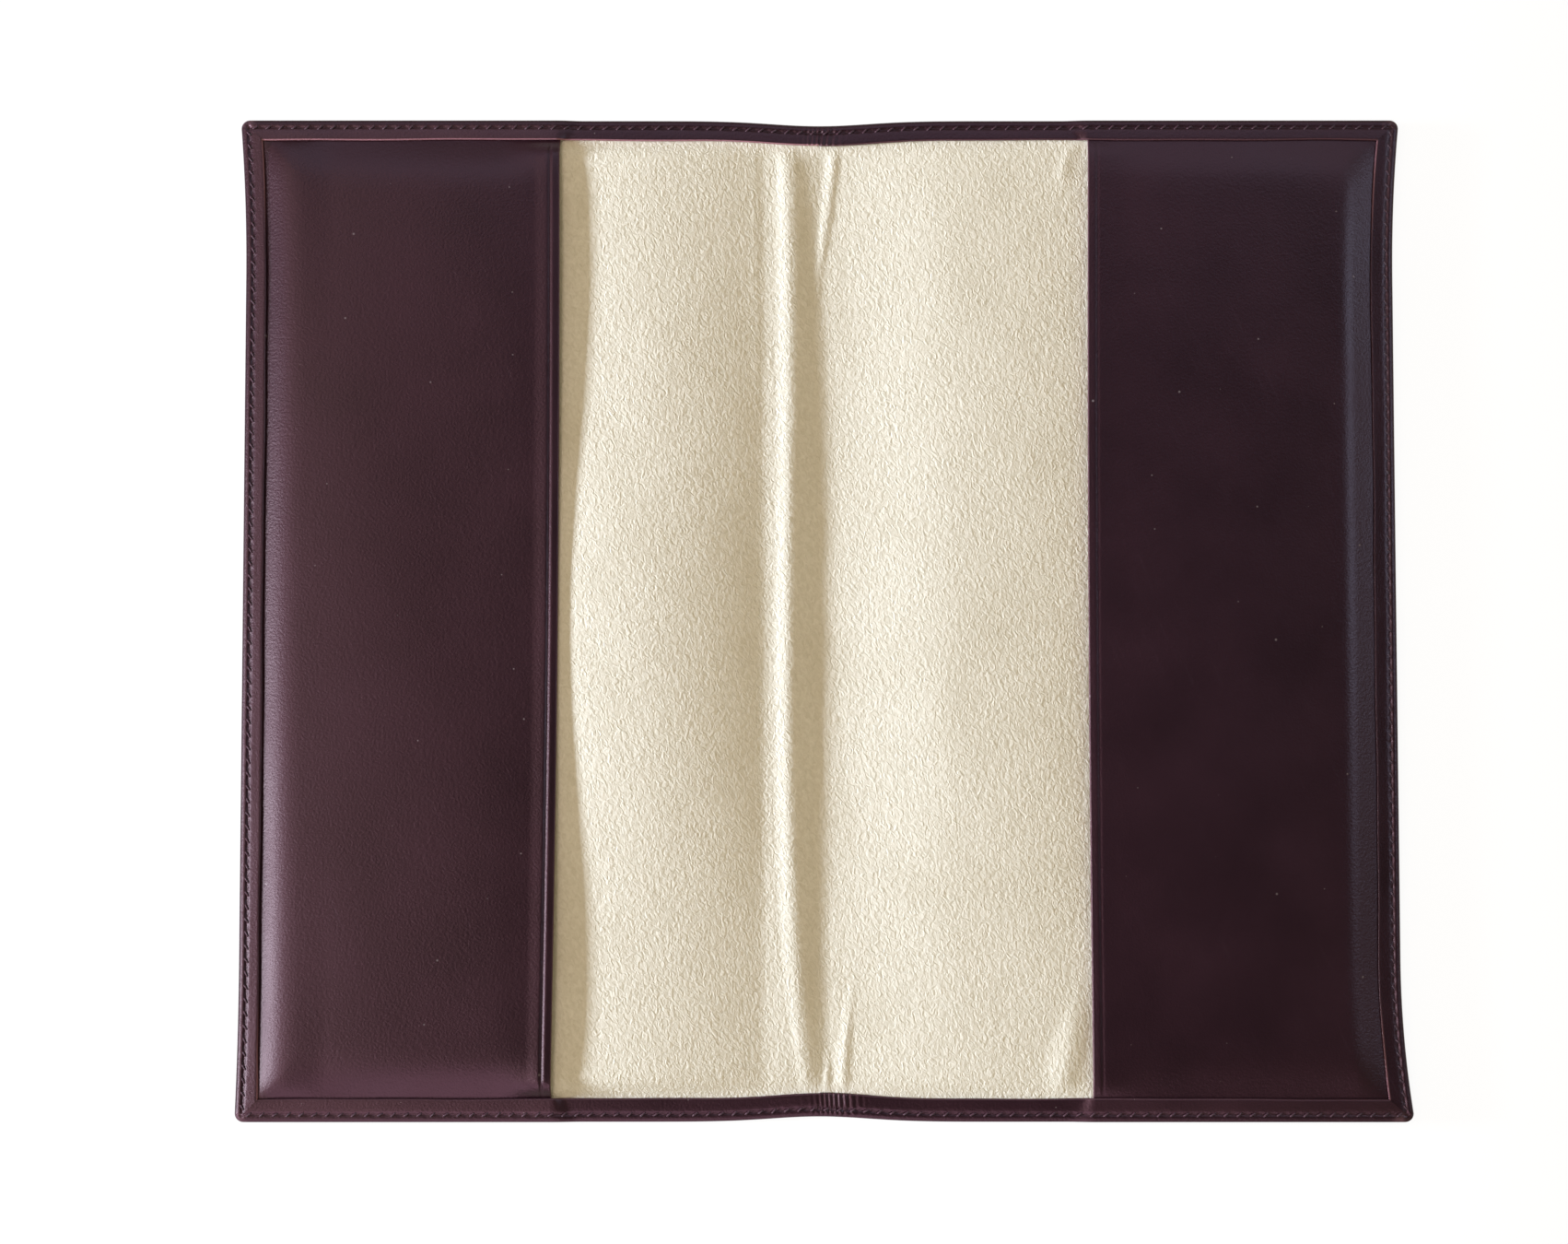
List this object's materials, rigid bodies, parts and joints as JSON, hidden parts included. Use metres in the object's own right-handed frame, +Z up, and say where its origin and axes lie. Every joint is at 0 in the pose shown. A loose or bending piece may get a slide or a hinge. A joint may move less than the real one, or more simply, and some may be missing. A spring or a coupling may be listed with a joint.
{
  "type": "document case",
  "caption": "Slim folding leather document case lying open, with turned-in stitched edges, a loose cream suede lining and a full-height pocket in each cover for papers and tickets.",
  "frame": {"origin": "bottom centre of the bounding box: on the table, under the middle of the spine", "axes": "+X across the open case towards the right cover as pictured, +Y along the spine towards the top of the picture, +Z up out of the inside of the case"},
  "size_m": [0.2678, 0.23, 0.0072],
  "materials": {
    "oxblood_leather": "smooth polished hide, dark oxblood, soft sheen",
    "cream_suede": "short napped suede, cream, matt",
    "grey_board": "plain grey-brown board, matt",
    "wine_thread": "waxed dark wine thread"
  },
  "bodies": {
    "left_cover": {"cover_left": "oxblood_leather", "stiffener_left": "grey_board", "lining_left": "cream_suede", "pocket_left": "oxblood_leather", "stitching_left": "wine_thread"},
    "spine": {"cover_spine": "oxblood_leather", "lining_spine": "cream_suede", "stitching_spine_top": "wine_thread", "stitching_spine_bottom": "wine_thread"},
    "right_cover": {"cover_right": "oxblood_leather", "stiffener_right": "grey_board", "lining_right": "cream_suede", "pocket_right": "oxblood_leather", "stitching_right": "wine_thread"}
  },
  "joints": [
    {"name": "spine_crease_left", "type": "hinge", "parent": "left_cover", "child": "spine", "pos_m": [-0.007, 0, 0.0011], "axis": [0, -1, 0], "range_deg": [0, 90]},
    {"name": "spine_crease_right", "type": "hinge", "parent": "spine", "child": "right_cover", "pos_m": [0.007, 0, 0.0011], "axis": [0, -1, 0], "range_deg": [0, 90]}
  ]
}
